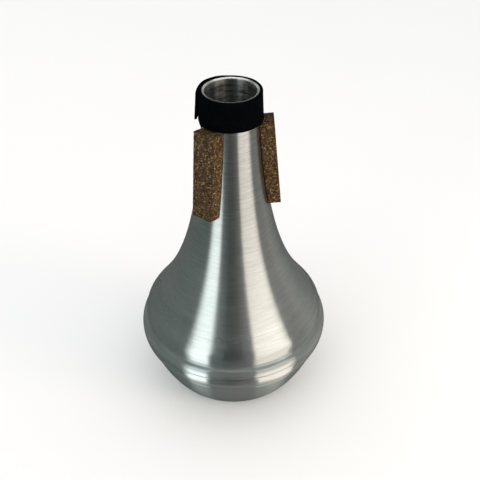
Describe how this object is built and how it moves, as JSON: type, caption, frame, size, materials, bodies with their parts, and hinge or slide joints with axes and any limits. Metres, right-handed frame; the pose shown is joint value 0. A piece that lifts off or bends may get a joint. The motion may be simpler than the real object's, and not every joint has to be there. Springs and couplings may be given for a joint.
{
  "type": "trumpet mute",
  "caption": "Straight mute for a trumpet bell: spun aluminium flare with an open neck, deep bowl-shaped end cap, cork strips and a black neck band.",
  "frame": {"origin": "centre of the flat foot of the bowl, the face the mute stands on", "axes": "+Z along the mute's axis from the bowl to the open neck; +X towards the right cork strip, -Y towards the front"},
  "size_m": [0.1058, 0.1058, 0.18],
  "materials": {
    "body_metal": "spun and brushed round the axis",
    "bowl_metal": "spun and brushed round the axis",
    "band": "matte black foam rubber strip",
    "cork": "composition cork with dark and light granules",
    "glue": "dried contact glue",
    "sealant": "cured adhesive"
  },
  "bodies": {
    "root": {"body_shell": "body_metal", "cork_strip_left": "cork", "cork_strip_rear": "cork", "cork_strip_right": "cork", "end_cap": "bowl_metal", "glue_layer_left": "glue", "glue_layer_rear": "glue", "glue_layer_right": "glue", "neck_band": "band", "seam_sealant": "sealant"}
  },
  "joints": []
}
